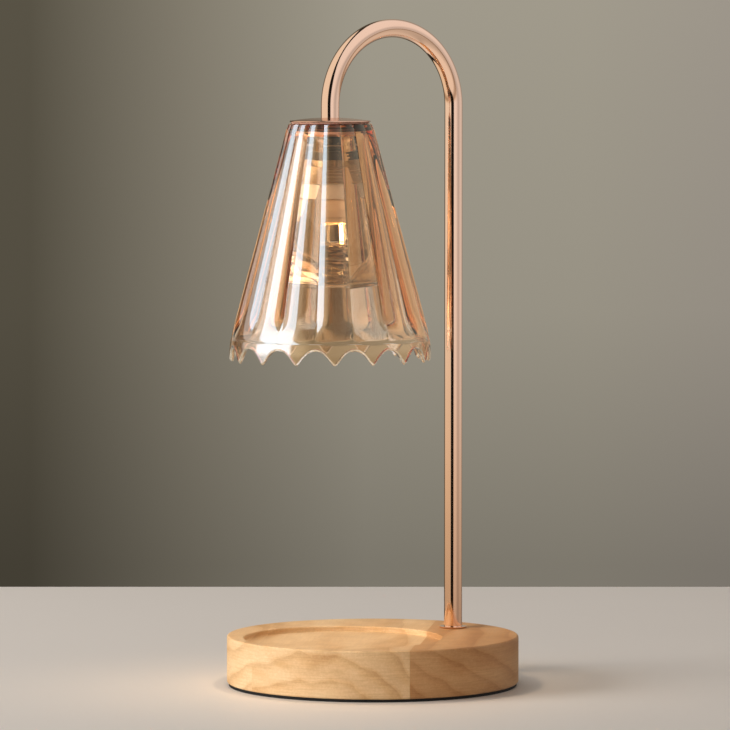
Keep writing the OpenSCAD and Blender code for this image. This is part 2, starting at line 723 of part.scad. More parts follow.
module bulb_base() color("#f1ead9") at_shade() difference() {
    rotate_extrude() polygon([[0, base_low_z - spigot_h], [spigot_r, base_low_z - spigot_h],
        [spigot_r, base_low_z], [neck_r, base_low_z], [bulb_base_d / 2, base_low_z + bulb_base_h * 0.4],
        [bulb_base_d / 2, seat_z - 1], [bulb_base_d / 2 - 1, seat_z], [0, seat_z]]);
    disc(capsule_hole, spigot_h + capsule_in + pocket_gap + cut, base_low_z - spigot_h - cut, fine);
    both_sides() translate([0, pin_orbit, 0]) disc(pin_d + 2 * play, pin_root + pocket_gap + cut,
        seat_z - pin_root - pocket_gap, fine);
}

module bulb_pins() color(zinc) at_shade() both_sides() translate([0, pin_orbit, 0]) {
    disc(pin_d, pin_root + pin_len - pin_head_h, seat_z - pin_root, fine);
    disc(pin_head_d, pin_head_h, seat_z + pin_len - pin_head_h, fine);
}

function bowl_r(z, wall) = let (top = neck_r - wall, rim = bulb_d / 2 - 0.4 - wall,
        k = (bowl_top_z - z) / (bowl_top_z - bulb_z - front_t))
    sqrt(top * top + (rim * rim - top * top) * k);

// Parabolic bowl under a straight glass neck, open at both ends
module bulb_reflector() color("#e8e0cc", 0.6) at_shade() {
    steps = 12;
    low = bulb_z + front_t;
    level = [for (i = [0:steps]) low + (bowl_top_z - low) * (1 - pow(1 - i / steps, 1.6))];
    rotate_extrude() polygon(concat(
        [for (z = level) [bowl_r(z, 0), z]],
        [[neck_r, base_low_z], [neck_r - reflector_wall, base_low_z]],
        [for (i = [steps:-1:0]) [bowl_r(level[i], reflector_wall), level[i]]]));
}

module bulb_front() color("#eef3f5", 0.4) at_shade() translate([0, 0, bulb_z])
    rotate_extrude() soft_outline(bulb_d / 2, front_t, front_t * 0.4);

// Quartz capsule: round tip, thin wall, closed pinch at the top
module bulb_capsule() color("#ffffff", 0.4) at_shade() difference() {
    union() {
        translate([0, 0, capsule_low + capsule_d / 2]) sphere(d = capsule_d);
        disc(capsule_d, capsule_out + spigot_h + capsule_in - capsule_d / 2, capsule_low + capsule_d / 2);
    }
    translate([0, 0, capsule_low + capsule_d / 2]) sphere(d = capsule_d - 2 * capsule_wall);
    disc(capsule_d - 2 * capsule_wall, capsule_out + spigot_h + capsule_in - capsule_d / 2 - pinch_h,
        capsule_low + capsule_d / 2);
}

// Glowing coil along the capsule, on one wire from the pinch and one that comes back beside it
module bulb_filament() color("#ffd9a0") at_shade() {
    z = capsule_low + filament_up;
    top = capsule_low + capsule_out + spigot_h + capsule_in - pinch_h;
    elbow_z = z + wire_d;
    translate([0, 0, z]) cylinder(d = filament_d, h = filament_l, $fn = 24);
    translate([0, 0, z + filament_l / 2]) cylinder(d = wire_d, h = top - z - filament_l / 2, $fn = 16);
    translate([0, wire_offset, elbow_z]) cylinder(d = wire_d, h = top - elbow_z, $fn = 16);
    translate([0, 0, elbow_z]) rotate([-90, 0, 0]) cylinder(d = wire_d, h = wire_offset, $fn = 16);
    translate([-0.8 * wire_d, wire_offset - 0.8 * wire_d, elbow_z - 0.8 * wire_d]) cube(1.6 * wire_d);
}

base_pad();
wood_base();
weight_plate();
plate_screws();
post_collar();
post_washer();
lock_washer();
post_nut();
cord_gland();
terminal_block();
block_barrels();
block_screws();
block_fixing();
arm_tube();
core_leads();
top_cap();
cap_gasket();
glass_shade();
clamp_gasket();
clamp_plate();
shade_nut();
holder_washer();
holder_cover();
holder_ring();
holder_sleeve();
holder_ceramic();
holder_contacts();
holder_screws();
bulb_base();
bulb_pins();
bulb_reflector();
bulb_front();
bulb_capsule();
bulb_filament();
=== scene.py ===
import math

import bpy
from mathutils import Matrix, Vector, noise


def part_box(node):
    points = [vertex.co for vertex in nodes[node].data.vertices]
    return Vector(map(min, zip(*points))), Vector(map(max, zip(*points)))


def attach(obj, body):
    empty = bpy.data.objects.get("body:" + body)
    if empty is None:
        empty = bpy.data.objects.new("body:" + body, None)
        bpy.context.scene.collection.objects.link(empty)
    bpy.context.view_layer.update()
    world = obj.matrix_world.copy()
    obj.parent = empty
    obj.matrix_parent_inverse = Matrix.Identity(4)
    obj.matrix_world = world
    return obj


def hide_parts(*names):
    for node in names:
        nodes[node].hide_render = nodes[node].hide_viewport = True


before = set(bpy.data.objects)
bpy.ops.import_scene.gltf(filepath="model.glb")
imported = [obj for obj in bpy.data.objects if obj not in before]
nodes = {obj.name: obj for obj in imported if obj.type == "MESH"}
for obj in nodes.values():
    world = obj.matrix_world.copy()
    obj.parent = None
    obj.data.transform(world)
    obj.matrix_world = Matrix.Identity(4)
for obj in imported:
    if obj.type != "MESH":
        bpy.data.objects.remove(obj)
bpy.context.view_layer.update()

bpy.context.scene.view_settings.view_transform = "Standard"

# Where the lens stands and what it sees, measured on the photographed lamp, in metres
viewPoint = {
    "place": (-1.6657, -2.2208, 0.34466),
    "heading": (0.5988, 0.8009),      # level direction of the view
    "dip": 0.0608,                    # how far the view points down, in radians
    "lens": 250.7,                    # focal length, and the sensor's width below, in millimetres
    "sensor": 36,
    "farthest": 30,                   # nothing beyond this is drawn
}
ahead = Vector((*viewPoint["heading"], 0)).normalized()
rightward = Vector((ahead.y, -ahead.x, 0))


def makeCamera(v):
    look = ahead * math.cos(v["dip"]) - Vector((0, 0, math.sin(v["dip"])))
    bpy.ops.object.camera_add(location=v["place"], rotation=look.to_track_quat("-Z", "Y").to_euler())
    camera = bpy.context.object
    camera.name = "studioCamera"
    camera.data.lens = v["lens"]
    camera.data.sensor_width = v["sensor"]
    camera.data.clip_end = v["farthest"]
    bpy.context.scene.camera = camera


# Soft boxes stand round the lamp; bearing runs from the lens's side towards the left, in degrees
softBoxes = {
    "keyBox": {"bearing": 74, "distance": 2.4, "height": 0.80, "size": (1.5, 1.0), "watts": 70.0,
               "colour": (1.0, 0.965, 0.925)},
    "fillBox": {"bearing": -12, "distance": 1.6, "height": 0.45, "size": (1.1, 0.9), "watts": 4.2,
                "colour": (1.0, 0.92, 0.82)},
    "topBox": {"bearing": 150, "distance": 0.7, "height": 1.35, "size": (0.8, 0.8), "watts": 4.6,
               "colour": (1.0, 0.97, 0.93)},
}

boxAim = Vector((0, 0, 0.2))          # all of them point here

# What the lit bulb throws down on the base, from just under its front glass
bulbGlow = {"watts": 0.62, "colour": (1.0, 0.72, 0.45), "angle": 96, "below": 0.001, "softness": 0.012}


def makeLights():
    for name, box in softBoxes.items():
        turn = math.radians(box["bearing"])
        place = (-ahead * math.cos(turn) - rightward * math.sin(turn)) * box["distance"]
        place.z = box["height"]
        bpy.ops.object.light_add(type="AREA", location=place,
                                 rotation=(boxAim - place).to_track_quat("-Z", "Y").to_euler())
        lamp = bpy.context.object
        lamp.name = name
        lamp.data.shape = "RECTANGLE"
        lamp.data.size, lamp.data.size_y = box["size"]
        lamp.data.energy = box["watts"]
        lamp.data.color = box["colour"]
        lamp.visible_camera = False
        lamp.visible_glossy = False       # the world below is what metal and glass mirror
        lamp.visible_transmission = False
    frontLow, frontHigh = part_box("bulb_front")
    bpy.ops.object.light_add(type="SPOT", location=(frontLow + frontHigh) / 2)
    glow = bpy.context.object
    glow.name = "bulbGlow"
    glow.location.z = frontLow.z - bulbGlow["below"]
    glow.data.energy = bulbGlow["watts"]
    glow.data.color = bulbGlow["colour"]
    glow.data.spot_size = math.radians(bulbGlow["angle"])
    glow.data.spot_blend = 1.0
    glow.data.shadow_soft_size = bulbGlow["softness"]


def addNode(tree, kind, inputs=None, **settings):
    made = tree.nodes.new("ShaderNode" + kind)
    for key, value in settings.items():
        setattr(made, key, value)
    for key, value in (inputs or {}).items():
        socket = made.inputs[key]
        if isinstance(value, bpy.types.NodeSocket):
            tree.links.new(value, socket)
        else:
            socket.default_value = value
    return made


def toneRange(colour, less, more):
    # the darkest and the palest that a colour gets
    return tuple(c * (1 - less) for c in colour), tuple(min(1.0, c * (1 + more)) for c in colour)


def mathStep(tree, operation, a, b=0.0, c=0.0):
    return addNode(tree, "Math", {0: a, 1: b, 2: c}, operation=operation).outputs[0]


def noiseOn(tree, vector, **values):
    return addNode(tree, "TexNoise", {"Vector": vector, **values}).outputs["Fac"]


def scaled(tree, vector, scale):
    return addNode(tree, "Mapping", {"Vector": vector, "Scale": scale}).outputs[0]


def bumpFrom(tree, height, strength, distance):
    return addNode(tree, "Bump", {"Height": height, "Strength": strength, "Distance": distance}).outputs[0]


def smoothRange(tree, value, low, high):
    made = addNode(tree, "MapRange", {"Value": value, "From Min": low, "From Max": high},
                   interpolation_type="SMOOTHSTEP")
    return made.outputs["Result"]


def colourSteps(tree, factor, steps):
    ramp = addNode(tree, "ValToRGB", {"Fac": factor})
    points = ramp.color_ramp.elements
    while len(points) < len(steps):
        points.new(0.5)
    for point, (place, colour) in zip(points, steps):
        point.position = place
        point.color = (*colour, 1)
    return ramp.outputs["Color"]


mixSockets = {"factor": 0, "a": 6, "b": 7, "result": 2}       # of a Mix node that mixes colours


def mixColours(tree, factor, a, b, blend="MIX"):
    a, b = [side if isinstance(side, bpy.types.NodeSocket) else (*side, 1) for side in (a, b)]
    inputs = {mixSockets["factor"]: factor, mixSockets["a"]: a, mixSockets["b"]: b}
    return addNode(tree, "Mix", inputs, data_type="RGBA", blend_type=blend).outputs[mixSockets["result"]]


# Soft grey studio round the lamp: a backdrop ahead and plain walls elsewhere. Polished metal mirrors a room
# that is warm on the left, dark in a gap and pale on the right. Clear glass mirrors and lets through a tall
# soft box on the left. Steps are (place, tone), and a height is how far up a direction points, from -1 to 1.
studio = {
    "backdrop": [(0.04, (0.086, 0.075, 0.053)), (0.27, (0.202, 0.181, 0.139)), (0.50, (0.305, 0.280, 0.224)),
                 (0.80, (0.312, 0.285, 0.230)), (1.0, (0.298, 0.268, 0.226))],
    "backdropWidth": 7.0,             # the steps above span one part in this of the way to the right
    "backdropFall": [(0.0, 0.66), (0.45, 1.0), (1.0, 1.14)],
    "fallPlace": (9.0, 0.9),          # height times the first, plus the second, is the place on these steps
    "backdropEdges": (0.50, 0.85),    # how far ahead a direction points where the backdrop takes over
    "clearEdges": (0.93, 0.985),      # the same through glass
    "clearGain": (1.50, 1.34, 1.05),  # what the lit bulb adds behind the glass
    "plainRoom": (0.335, 0.305, 0.255),       # the walls that the other views see
    "gapLevel": (-0.20, 0.42),        # the dark gap's two sides, as shares of the way to the left
    "gapAbove": (0.34, -0.10),        # added to both high up, where the gap is narrow
    "gapBelow": (0.68, 0.20),         # and low down
    "highEdges": (0.2, 0.9),          # heights between which the gap changes
    "lowEdges": (-0.05, -0.5),
    "gapTurn": 0.13,                  # how much the way to the left leans away from the lens
    "gapBlur": 0.08,                  # softness of its sides, in widths of the gap
    "leftRoom": (0.89, 0.81, 0.69),
    "gap": (0.010, 0.009, 0.008),
    "panel": (0.90, 0.85, 0.83),
    "panelSteps": [(-140, 0.70), (-95, 0.84), (-62, 0.58), (-30, 1.0)],       # by bearing, in degrees
    "panelEdges": (0.1, 0.5),         # heights between which the panel loses its steps
    "lowRoom": [(0.04, (0.50, 0.41, 0.32)), (0.15, (0.84, 0.74, 0.62)), (0.28, (1.0, 1.0, 1.0))],
    "lowPlace": (4.0, 0.5),           # the metal's room darkens low down, by height as for the fall
    "steepTone": (0.96, 0.90, 0.80),  # and is pale again straight down
    "steepEdges": (-0.14, -0.26),
    "boxGain": 4.2,                   # the steps below, by bearing, times this
    "boxSteps": [(-180, (0.18, 0.165, 0.120)), (-160, (0.19, 0.165, 0.12)), (-142, (0.11, 0.09, 0.065)),
                 (-125, (0.15, 0.13, 0.095)), (-60, (0.08, 0.07, 0.055)),
                 (-8, (0.05, 0.04, 0.03)), (22, (0.07, 0.05, 0.03)), (34, (0.24, 0.17, 0.10)),
                 (45, (0.30, 0.22, 0.14)), (48, (0.90, 0.90, 0.90)), (92, (0.94, 0.97, 1.0)),
                 (95, (0.40, 0.34, 0.29)), (120, (0.36, 0.29, 0.24)), (124, (0.03, 0.025, 0.02)),
                 (145, (0.03, 0.025, 0.02)), (158, (0.22, 0.18, 0.13)), (180, (0.21, 0.190, 0.135))],
    "boxRise": [(0.0, 0.5), (0.06, 1.0), (0.72, 1.0), (0.90, 0.25)],
    "ambient": (0.205, 0.185, 0.162),
    "floor": (0.74, 0.70, 0.665),
    "floorClouds": {"Scale": 3.0, "Detail": 3.0},
    "floorSway": 0.03,                # how much paler and darker they make it
    "floorRoughness": 0.55,
    "floorBehind": 0.513,             # from the lamp's middle to the table's far edge, in metres
    "floorAhead": 1.6,
    "floorHalfWidth": 1.0,
}


def makeWorld(s):
    world = bpy.data.worlds.new("studioRoom")
    bpy.context.scene.world = world
    world.use_nodes = True
    tree = world.node_tree
    tree.nodes.clear()
    direction = addNode(tree, "TexCoord").outputs["Generated"]
    path = addNode(tree, "LightPath").outputs

    def along(vector):
        made = addNode(tree, "VectorMath", {0: direction, 1: vector}, operation="DOT_PRODUCT")
        return made.outputs["Value"]

    def times(a, b):
        return mixColours(tree, 1.0, a, b, "MULTIPLY")

    def greys(factor, steps):
        return colourSteps(tree, factor, [(place, (tone,) * 3) for place, tone in steps])

    def byBearing(steps):
        return [(0.5 + degrees / 360, tone) for degrees, tone in steps]

    # the backdrop changes from left to right and falls off downwards
    up = along((0, 0, 1))
    side = mathStep(tree, "MULTIPLY_ADD", along(rightward), s["backdropWidth"], 0.5)
    fall = greys(mathStep(tree, "MULTIPLY_ADD", up, *s["fallPlace"]), s["backdropFall"])
    backdrop = times(colourSteps(tree, side, s["backdrop"]), fall)

    # the dark gap in the metal's room: its two sides at this height, and how far across it a ray goes
    above = smoothRange(tree, up, *s["highEdges"])
    below = smoothRange(tree, up, *s["lowEdges"])
    sides = [mathStep(tree, "MULTIPLY_ADD", above, high, mathStep(tree, "MULTIPLY_ADD", below, low, level))
             for level, high, low in zip(s["gapLevel"], s["gapAbove"], s["gapBelow"])]
    leftness = along(ahead * s["gapTurn"] - rightward)
    share = mathStep(tree, "DIVIDE", mathStep(tree, "SUBTRACT", leftness, sides[0]),
                     mathStep(tree, "SUBTRACT", sides[1], sides[0]))
    inGap = smoothRange(tree, share, -s["gapBlur"], s["gapBlur"])
    pastGap = smoothRange(tree, share, 1 - s["gapBlur"], 1 + s["gapBlur"])

    # the metal's room: panel, gap, warm left room, all darker low down
    bearing = mathStep(tree, "ARCTAN2", along(-rightward), along(-ahead))
    turnShare = mathStep(tree, "MULTIPLY_ADD", bearing, 0.5 / math.pi, 0.5)
    panel = times(s["panel"], greys(turnShare, byBearing(s["panelSteps"])))
    panel = mixColours(tree, smoothRange(tree, up, *s["panelEdges"]), panel, s["panel"])
    metalRoom = mixColours(tree, pastGap, mixColours(tree, inGap, panel, s["gap"]), s["leftRoom"])
    lowTone = colourSteps(tree, mathStep(tree, "MULTIPLY_ADD", up, *s["lowPlace"]), s["lowRoom"])
    lowTone = mixColours(tree, smoothRange(tree, up, *s["steepEdges"]), lowTone, s["steepTone"])
    metalRoom = times(metalRoom, lowTone)

    # the glass's room: soft box by bearing, fading out upwards
    box = times(colourSteps(tree, turnShare, byBearing(s["boxSteps"])), greys(up, s["boxRise"]))
    glassRoom = addNode(tree, "VectorMath", {0: box, "Scale": s["boxGain"]}, operation="SCALE").outputs[0]

    # each kind of ray gets its own room, and the backdrop straight ahead
    clear = mathStep(tree, "MAXIMUM", path["Is Transmission Ray"], path["Is Singular Ray"])
    behindMetal = smoothRange(tree, along(ahead), *s["backdropEdges"])
    behindGlass = smoothRange(tree, along(ahead), *s["clearEdges"])
    surroundings = mixColours(tree, clear, mixColours(tree, behindMetal, metalRoom, backdrop),
                              mixColours(tree, behindGlass, glassRoom, times(backdrop, s["clearGain"])))
    plain = mixColours(tree, behindGlass, s["plainRoom"], backdrop)
    surroundings = mixColours(tree, path["Is Camera Ray"], surroundings, plain)
    seen = mathStep(tree, "MAXIMUM", path["Is Camera Ray"], path["Is Transmission Ray"])
    shown = mathStep(tree, "MAXIMUM", seen, path["Is Glossy Ray"])
    light = mixColours(tree, shown, s["ambient"], surroundings)
    back = addNode(tree, "Background", {"Color": light, "Strength": 1.0})
    addNode(tree, "OutputWorld", {"Surface": back.outputs["Background"]})


def selectNone():
    if bpy.context.object and bpy.context.object.mode != "OBJECT":
        bpy.ops.object.mode_set(mode="OBJECT")
    bpy.ops.object.select_all(action="DESELECT")


def makeFloor(s):
    selectNone()
    bpy.ops.mesh.primitive_plane_add(size=1)
    floor = bpy.context.object
    floor.name = "studioFloor"
    for corner in floor.data.vertices:
        depth = s["floorBehind"] if corner.co.y > 0 else -s["floorAhead"]
        corner.co = ahead * depth + rightward * (s["floorHalfWidth"] * (1 if corner.co.x > 0 else -1))
    floor.data.update()
    floor.data.materials.append(floorFinish(s))
    floor.visible_glossy = False      # the post mirrors the room down to its foot


def newFinish(name):
    material = bpy.data.materials.new(name)
    material.use_nodes = True
    tree = material.node_tree
    return material, tree, tree.nodes["Principled BSDF"], addNode(tree, "TexCoord").outputs["Object"]


shaderSockets = {
    "baseColour": "Base Color", "roughness": "Roughness", "metallic": "Metallic", "normal": "Normal",
    "specular": "Specular IOR Level", "transmission": "Transmission Weight", "ior": "IOR",
    "filmDepth": "Thin Film Thickness", "filmIor": "Thin Film IOR",
    "emission": "Emission Color", "emissionStrength": "Emission Strength",
}


def setShader(tree, shader, **values):
    for key, value in values.items():
        socket = shader.inputs[shaderSockets[key]]
        if isinstance(value, bpy.types.NodeSocket):
            tree.links.new(value, socket)
        elif isinstance(value, tuple):
            socket.default_value = (*value, 1)
        else:
            socket.default_value = value


def floorFinish(s):
    material, tree, shader, place = newFinish("studioFloorPaint")
    clouds = noiseOn(tree, place, **s["floorClouds"])
    tone = mixColours(tree, clouds, *toneRange(s["floor"], s["floorSway"], s["floorSway"]))
    setShader(tree, shader, baseColour=tone, roughness=s["floorRoughness"])
    return material


# Pale glued staves with their grain nearly along the view: growth rings as arcs round the side, streaks on
# top. Scales of noise run along the grain, across it and up, and steps are (place, tone).
wood = {
    "pale": (0.82, 0.595, 0.355),
    "warm": (0.70, 0.445, 0.222),
    "deep": (0.50, 0.275, 0.115),
    "staveTintAndShade": (0.72, 0.58, 0.46),  # the stave on the right is redder and darker: partly its own wood, partly painted shade of the side turned from the key light
    "grainTurn": 47.0,                # bearing of the grain on the plan, in degrees from X
    "joint": 0.028,                   # places of the glue lines across the grain
    "farJoint": -0.060,
    "glueHalf": 0.00035,
    "glueShare": 0.35,                # how much the layer covers, as the other shares say
    "pith": (0.030, -0.050),          # middle of the growth rings, across the grain and up
    "pithShift": (0.030, -0.080),     # the same for the right stave, added
    "ringStep": 0.0125,
    "ringSway": 0.026,
    "ringSteps": [(0.0, "warm"), (0.14, "pale"), (0.42, "pale"), (0.74, "warm"), (0.93, "deep")],
    "ringShare": 0.48,
    "sway": {"scale": (7, 26, 26), "detail": 2.0},
    "cloud": {"scale": (10, 30, 44), "roughness": 0.5, "distortion": 0.6},
    "cloudSteps": [(0.30, "deep"), (0.45, "warm"), (0.60, "pale")],
    "fibre": {"scale": (60, 800, 800), "roughness": 0.65},
    "fibreSteps": [(0.30, "deep"), (0.52, "warm"), (0.66, "pale")],
    "fibreShare": 0.22,
    "latheScale": (70, 70, 1500),     # faint marks of the lathe, by X, Y and Z
    "latheSteps": [(0.35, (0.88, 0.85, 0.80)), (0.60, (1.0, 1.0, 1.0))],
    "latheShare": 0.8,
    "pore": {"scale": (150, 1500, 1500), "detail": 1.0},
    "poreEdges": (0.66, 0.74),
    "poreShare": 0.30,
    "poreDepth": -0.6,                # against the height of a fibre
    "bump": (0.10, 0.0004),           # strength and distance
    "gloss": (0.16, 0.40),            # roughness is fibre times the first, plus the second
    "specular": 0.35,
}


def woodFinish():
    w = wood
    material, tree, shader, place = newFinish("woodGrain")
    turned = addNode(tree, "VectorRotate", {"Vector": place, "Angle": -math.radians(w["grainTurn"])},
                     rotation_type="Z_AXIS").outputs[0]
    parts = addNode(tree, "SeparateXYZ", {0: turned}).outputs
    nearStave = mathStep(tree, "LESS_THAN", parts["Y"], -w["joint"])
    farStave = mathStep(tree, "GREATER_THAN", parts["Y"], -w["farJoint"])
    stave = mathStep(tree, "SUBTRACT", nearStave, farStave)
    shift = addNode(tree, "CombineXYZ", {"X": 0.0, "Y": 0.0, "Z": stave}).outputs[0]

    def grained(scale, detail=3.0, roughness=0.55, distortion=0.0):
        # noise stretched along the grain, in another place on each stave
        there = addNode(tree, "VectorMath", {0: scaled(tree, turned, scale), 1: shift}, operation="ADD")
        return noiseOn(tree, there.outputs[0], Scale=1.0, Detail=detail, Roughness=roughness,
                       Distortion=distortion)

    def toned(factor, steps):
        return colourSteps(tree, factor, [(at, w[tone]) for at, tone in steps])

    def fromPith(axis, k):
        # square of the way from the middle of the rings, which lies elsewhere in the right stave
        pith = mathStep(tree, "MULTIPLY_ADD", nearStave, w["pithShift"][k], w["pith"][k])
        off = mathStep(tree, "SUBTRACT", parts[axis], pith)
        return mathStep(tree, "MULTIPLY", off, off)

    reach = mathStep(tree, "SQRT", mathStep(tree, "ADD", fromPith("Y", 0), fromPith("Z", 1)))
    swayed = mathStep(tree, "MULTIPLY_ADD", grained(**w["sway"]), w["ringSway"], reach)
    rings = toned(mathStep(tree, "FRACT", mathStep(tree, "DIVIDE", swayed, w["ringStep"])), w["ringSteps"])
    clouds = toned(grained(**w["cloud"]), w["cloudSteps"])
    body = mixColours(tree, w["ringShare"], clouds, rings)
    fibre = grained(**w["fibre"])
    body = mixColours(tree, w["fibreShare"], body, toned(fibre, w["fibreSteps"]))
    lathe = noiseOn(tree, scaled(tree, place, w["latheScale"]), Scale=1.0, Detail=3.0)
    body = mixColours(tree, w["latheShare"], body, colourSteps(tree, lathe, w["latheSteps"]), "MULTIPLY")
    pores = smoothRange(tree, grained(**w["pore"]), *w["poreEdges"])
    body = mixColours(tree, mathStep(tree, "MULTIPLY", pores, w["poreShare"]), body, w["deep"])
    # partly painted shade: the right stave's own redder wood, made darker still for the side away from the
    # key light
    body = mixColours(tree, nearStave, body, mixColours(tree, 1.0, body, w["staveTintAndShade"], "MULTIPLY"))
    offJoint = mathStep(tree, "ABSOLUTE", mathStep(tree, "ADD", parts["Y"], w["joint"]))
    glue = smoothRange(tree, offJoint, w["glueHalf"], 0.0)
    body = mixColours(tree, mathStep(tree, "MULTIPLY", glue, w["glueShare"]), body, w["deep"])
    height = mathStep(tree, "MULTIPLY_ADD", pores, w["poreDepth"], mathStep(tree, "ADD", fibre, lathe))
    setShader(tree, shader, baseColour=body, roughness=mathStep(tree, "MULTIPLY_ADD", fibre, *w["gloss"]),
              normal=bumpFrom(tree, height, *w["bump"]), specular=w["specular"])
    return material


# Fine patterns of the other finishes: noise, how much tones sway, and the distance of a bump
pattern = {
    "smear": {"Scale": 1.0, "Detail": 4.0, "Roughness": 0.6}, "smearScale": (60, 60, 60),
    "smearTones": (0.04, 0.03), "dent": 0.0005,
    "cloud": {"Scale": 45.0, "Detail": 3.0}, "cloudTones": (0.12, 0.12),
    "grainDetail": 2.0, "grainDepth": 0.0003, "grainRoughness": 0.12,
    "wave": {"Scale": 55.0, "Detail": 1.5}, "waveDepth": 0.001,
    "heat": {"Scale": 700.0}, "heatTones": (0.0, 0.1),
}


def metalFinish(name, colour, roughness, wear=0.05, brushed=pattern["smearScale"], bump=0.02):
    # faint smears all over; brushed stretches them along one axis
    material, tree, shader, place = newFinish(name)
    smear = noiseOn(tree, scaled(tree, place, brushed), **pattern["smear"])
    rough = mathStep(tree, "MULTIPLY_ADD", smear, wear, max(0.0, roughness - wear / 2))
    tone = mixColours(tree, smear, *toneRange(colour, *pattern["smearTones"]))
    setShader(tree, shader, baseColour=tone, roughness=rough, metallic=1.0)
    if bump:
        setShader(tree, shader, normal=bumpFrom(tree, smear, bump, pattern["dent"]))
    return material


def plainFinish(name, colour, roughness, grain=900, bump=0.1, specular=0.5):
    material, tree, shader, place = newFinish(name)
    cloud = noiseOn(tree, place, **pattern["cloud"])
    fine = noiseOn(tree, place, Scale=grain, Detail=pattern["grainDetail"])
    tone = mixColours(tree, cloud, *toneRange(colour, *pattern["cloudTones"]))
    sway = pattern["grainRoughness"]
    rough = mathStep(tree, "MULTIPLY_ADD", fine, sway, max(0.0, roughness - sway / 2))
    setShader(tree, shader, baseColour=tone, roughness=rough, specular=specular,
              normal=bumpFrom(tree, fine, bump, pattern["grainDepth"]))
    return material


def glassFinish(name, colour, ior, roughness=0.0, clear=1.0, film=(0.0, 1.33), absorb=None, density=0.0,
                waviness=0.0):
    # film is a thin coat, in nanometres, and absorb tints what passes through the glass
    material, tree, shader, place = newFinish(name)
    setShader(tree, shader, baseColour=colour, roughness=roughness, transmission=clear, ior=ior,
              filmDepth=film[0], filmIor=film[1])
    if waviness:
        waves = noiseOn(tree, place, **pattern["wave"])
        setShader(tree, shader, normal=bumpFrom(tree, waves, waviness, pattern["waveDepth"]))
    if absorb:
        body = addNode(tree, "VolumeAbsorption", {"Color": (*absorb, 1), "Density": density})
        tree.links.new(body.outputs[0], tree.nodes["Material Output"].inputs["Volume"])
    return material


def glowFinish(name, colour, strength, roughness=0.5):
    material, tree, shader, place = newFinish(name)
    heat = noiseOn(tree, place, **pattern["heat"])
    tone = mixColours(tree, heat, *toneRange(colour, *pattern["heatTones"]))
    setShader(tree, shader, baseColour=tone, emission=colour, emissionStrength=strength, roughness=roughness)
    return material


# Values of each finish. Brushed metal has its scales of smear by X, Y and Z, and a film is (depth, index).
metals = {
    "roseGold": {"colour": (0.94, 0.665, 0.51), "roughness": 0.085, "wear": 0.01, "brushed": (20, 20, 20),
                 "bump": 0.0},
    # painted shade: the cap's rose gold is made darker than the arm's, standing in for the dark that the cap
    # mirrors
    "shadedCapGold": {"colour": (0.72, 0.47, 0.36), "roughness": 0.22, "bump": 0.01},
    "zincPlate": {"colour": (0.62, 0.63, 0.65), "roughness": 0.32, "wear": 0.12},
    "nickelPlate": {"colour": (0.72, 0.69, 0.64), "roughness": 0.22, "wear": 0.08},
    "turnedAluminium": {"colour": (0.66, 0.59, 0.44), "roughness": 0.26, "wear": 0.10,
                        "brushed": (30, 30, 1800)},
    "bareBrass": {"colour": (0.80, 0.60, 0.28), "roughness": 0.28, "wear": 0.12},
    "blackenedSteel": {"colour": (0.05, 0.05, 0.055), "roughness": 0.38, "wear": 0.12},
    "reflectorMirror": {"colour": (0.93, 0.86, 0.72), "roughness": 0.10},
}
plains = {
    "paintedSteel": {"colour": (0.05, 0.052, 0.055), "roughness": 0.5, "bump": 0.25},
    "foamPad": {"colour": (0.018, 0.018, 0.018), "roughness": 0.9, "grain": 1600, "bump": 0.5,
                "specular": 0.2},
    "blackRubber": {"colour": (0.022, 0.021, 0.020), "roughness": 0.62, "bump": 0.2},
    # painted light: both rings are coloured pale salmon, standing in for the copper glow seen through the
    # shade's top where they lie in shade
    "gasketRubberPaintedGlow": {"colour": (0.50, 0.28, 0.21), "roughness": 0.55},
    "clampSiliconePaintedGlow": {"colour": (0.85, 0.52, 0.40), "roughness": 0.5},
    "thermoset": {"colour": (0.028, 0.027, 0.026), "roughness": 0.30, "bump": 0.08},
    "nylon": {"colour": (0.80, 0.78, 0.70), "roughness": 0.42, "bump": 0.04},
    "siliconeCore": {"colour": (0.74, 0.70, 0.60), "roughness": 0.5, "bump": 0.08},
    "unglazedCeramic": {"colour": (0.80, 0.73, 0.60), "roughness": 0.62, "bump": 0.25},
    "glazedCeramic": {"colour": (0.84, 0.66, 0.45), "roughness": 0.30, "bump": 0.04},
}
glasses = {
    "amberGlass": {"colour": (0.99, 0.94, 0.88), "ior": 1.52, "film": (58.0, 1.95),
                   "absorb": (0.985, 0.57, 0.11), "density": 118.0},
    # painted highlight on the shade's rim: rougher, partly milky pale, with a stronger film
    "rimHighlightGlass": {"colour": (1.0, 0.93, 0.82), "ior": 1.52, "roughness": 0.14, "clear": 0.76,
                 "film": (70.0, 2.4)},
    "clearGlass": {"colour": (0.98, 0.98, 0.97), "ior": 1.5, "waviness": 0.05},
    "quartzGlass": {"colour": (0.99, 0.99, 0.99), "ior": 1.46, "waviness": 0.03},
}
filamentGlow = {"colour": (1.0, 0.72, 0.38), "strength": 150.0}

